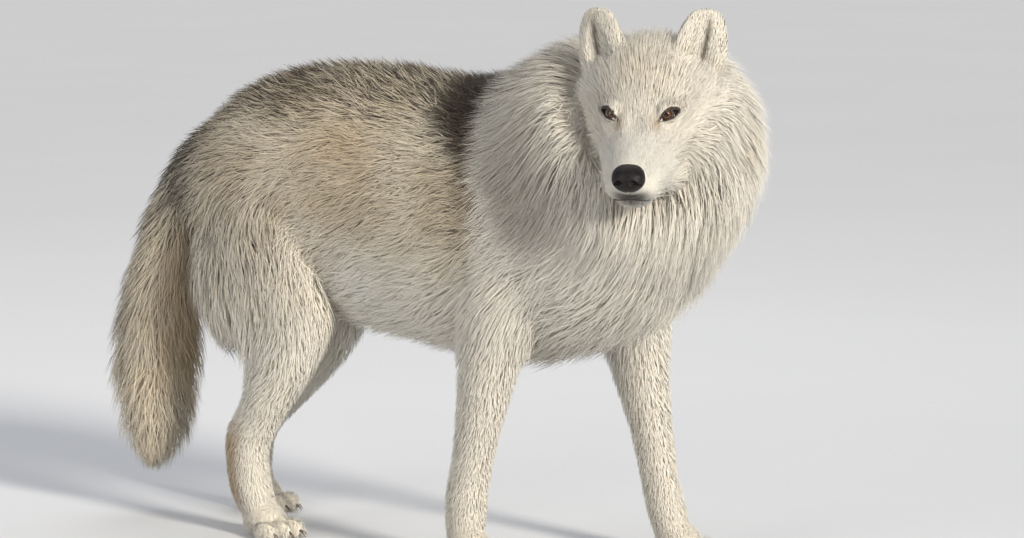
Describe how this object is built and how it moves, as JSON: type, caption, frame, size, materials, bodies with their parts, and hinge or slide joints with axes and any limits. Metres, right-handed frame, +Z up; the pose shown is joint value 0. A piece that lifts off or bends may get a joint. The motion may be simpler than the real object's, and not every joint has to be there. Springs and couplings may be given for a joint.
{
  "type": "arctic wolf",
  "caption": "Life-size standing arctic wolf in a deep white coat with a grey-brown back, its head turned to the right and its bushy tail hanging; a still model.",
  "frame": {"origin": "on the floor, under the middle of the wolf's bounding box", "axes": "+X the way the body faces, +Y its left side, +Z up"},
  "size_m": [1.1584, 0.4316, 0.8448],
  "materials": {
    "coat": "deep soft fur, white to cream, grey-brown on the back",
    "eye": "wet amber-brown eye with a dark rim",
    "nose_pad": "black, pebbled, slightly moist"
  },
  "bodies": {
    "root": {"head": "coat", "ear_left": "coat", "ear_right": "coat", "eye_left": "eye", "eye_right": "eye", "nose": "nose_pad", "neck": "coat", "torso": "coat", "tail": "coat", "fore_leg_left": "coat", "fore_leg_right": "coat", "fore_paw_left": "coat", "fore_paw_right": "coat", "hind_thigh_left": "coat", "hind_thigh_right": "coat", "hind_shank_left": "coat", "hind_shank_right": "coat", "hind_paw_left": "coat", "hind_paw_right": "coat"}
  },
  "joints": []
}
